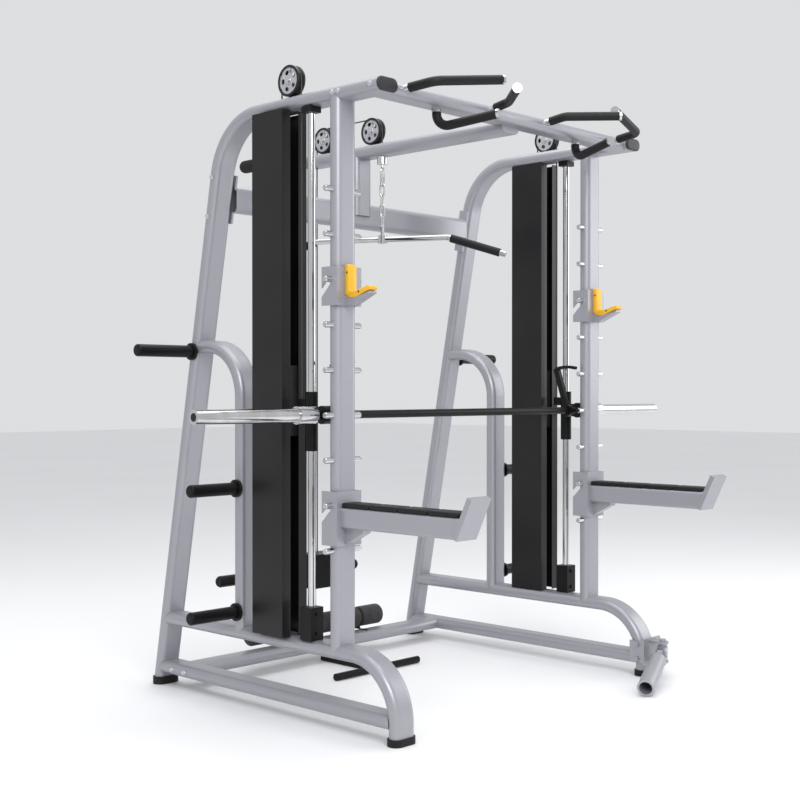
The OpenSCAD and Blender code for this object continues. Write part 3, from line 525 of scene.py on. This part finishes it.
def make_roller():
    """Foam sleeves with soft ends, between the plates and outside them."""
    low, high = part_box("foam_roller")
    centre = middle("foam_roller")
    radius = (high[2] - low[2]) / 2
    inner = ROLLER_PLATE_X
    outer = ROLLER_PLATE_X + ROLLER_PLATE_T + 2 * ROLLER_GAP
    at = Matrix.Translation((0, centre.y, centre.z))
    bm = bmesh.new()
    for x0, x1 in ((-inner, inner), (outer, high[0]), (low[0], -outer)):
        revolve(bm, rounded_rod(x0, x1, radius, 0.01, ROLLER_BORE), 64, True, at)
    piece("roller_foam", bm, FOAM, "roller", ("foam_roller",))


def oval_loop(bm, at, half_w, half_t, y, steps=8):
    """A loop of vertices round a tube's flat-oval section, in the XZ plane."""
    r = half_t * 0.96
    loop = []
    for cx, cz, start in ((1, 1, 0), (-1, 1, 90), (-1, -1, 180), (1, -1, 270)):
        for x, z in arc((cx * (half_w - r), cz * (half_t - r)), r, start, start + 90, steps):
            loop.append(bm.verts.new((at[0] + x, y, at[1] + z)))
    return loop


# How far along a plug its face has come, and how much smaller it is there
PLUG_FACE = ((0, 0), (0.45, 0), (0.7, 0.001), (0.86, 0.003), (0.96, 0.008), (1.0, 0.016))


def make_end_caps():
    """Plugs with a domed face and a soft rim in the open ends of the tubes."""
    bm = bmesh.new()
    for low, high in islands("end_caps", 0.06):
        at = ((low[0] + high[0]) / 2, (low[2] + high[2]) / 2)
        half_w, half_t = (high[0] - low[0]) / 2, (high[2] - low[2]) / 2
        base, tip = (high[1], low[1]) if high[1] < 0 else (low[1], high[1])
        depth = tip - base
        loops = []
        for along, shrink in PLUG_FACE:
            y = base + along * depth
            loops.append(oval_loop(bm, at, half_w - shrink, half_t - shrink, y))
        for a, b in zip(loops, loops[1:]):
            for k in range(len(a)):
                n = (k + 1) % len(a)
                bm.faces.new((a[k], a[n], b[n], b[k]))
        bm.faces.new(loops[0])
        bm.faces.new(loops[-1])
    piece("tube_plugs", bm, CAP, "frame", ("end_caps",))


def make_bolts():
    """Hexagon heads with a chamfer, each on its washer."""
    bm = bmesh.new()
    for low, high in islands("frame_bolts", 0.012):
        side = 1 if low[0] > 0 else -1
        face = low[0] if side > 0 else high[0]
        height = high[0] - low[0]
        at = Matrix.Translation((face, (low[1] + high[1]) / 2, (low[2] + high[2]) / 2))
        if side < 0:
            at = at @ Matrix.Rotation(math.pi, 4, "Z")
        revolve(bm, [(0, 0.0105), (0.0016, 0.0105), (0.002, 0.0098)], 28, False, at)
        revolve(bm, [(0.002, 0.0082), (height - 0.001, 0.0082), (height, 0.007)], 6, False, at)
    piece("bolt_heads", bm, STEEL, "frame", ("frame_bolts",), 25)


SLEEVE_PLUG = [(-0.002, 0.0145), (0.0004, 0.0145), (0.0012, 0.0135), (0.0012, 0.006)]


def make_sleeve_plugs():
    """Black plugs in the bores of the sleeves' ends."""
    low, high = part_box("bar_sleeves")
    y, z = (low[1] + high[1]) / 2, (low[2] + high[2]) / 2
    bm = bmesh.new()
    for side, face in ((-1, low[0]), (1, high[0])):
        at = Matrix.Translation((face, y, z)) @ Matrix.Rotation(0 if side > 0 else math.pi, 4, "Z")
        revolve(bm, SLEEVE_PLUG, 40, False, at)
    piece("sleeve_plugs", bm, PLASTIC, "bar")


make_spotter_pads()
make_sleeve_plugs()
make_liners()
make_roller()
make_end_caps()
make_bolts()


# ---------- floor and light ----------


def make_studio():
    """Pale floor, soft boxes above and to the left, and an even pale sky."""
    bpy.ops.mesh.primitive_plane_add(size=60, location=(0, 0, -0.0005))
    floor = bpy.context.object
    floor.name = "floor"
    mat, tree, shader = new_material("pale_floor", (0.86, 0.86, 0.87), 0.0, 0.55)
    tint(tree, shader, noise(tree, 0.5), (0.85, 0.85, 0.86), (0.87, 0.87, 0.88))
    floor.data.materials.append(mat)
    world = bpy.data.worlds.new("studio")
    world.use_nodes = True
    sky = world.node_tree.nodes["Background"]
    sky.inputs["Color"].default_value = (0.97, 0.98, 1.0, 1)
    sky.inputs["Strength"].default_value = 0.75
    bpy.context.scene.world = world
    for name, at, size, watts in (
        ("key", (-3.5, -4.5, 4.5), 3.0, 200),
        ("top", (0.0, 0.0, 5.0), 4.0, 130),
        ("fill", (4.5, -2.5, 2.5), 3.0, 60),
    ):
        data = bpy.data.lights.new(name, "AREA")
        data.size, data.energy = size, watts
        light = bpy.data.objects.new(name, data)
        light.location = at
        light.rotation_mode = "QUATERNION"
        light.rotation_quaternion = (Vector((0, 0, 1.1)) - Vector(at)).to_track_quat("-Z", "Y")
        bpy.context.collection.objects.link(light)
    bpy.context.scene.view_settings.view_transform = "Standard"


make_studio()
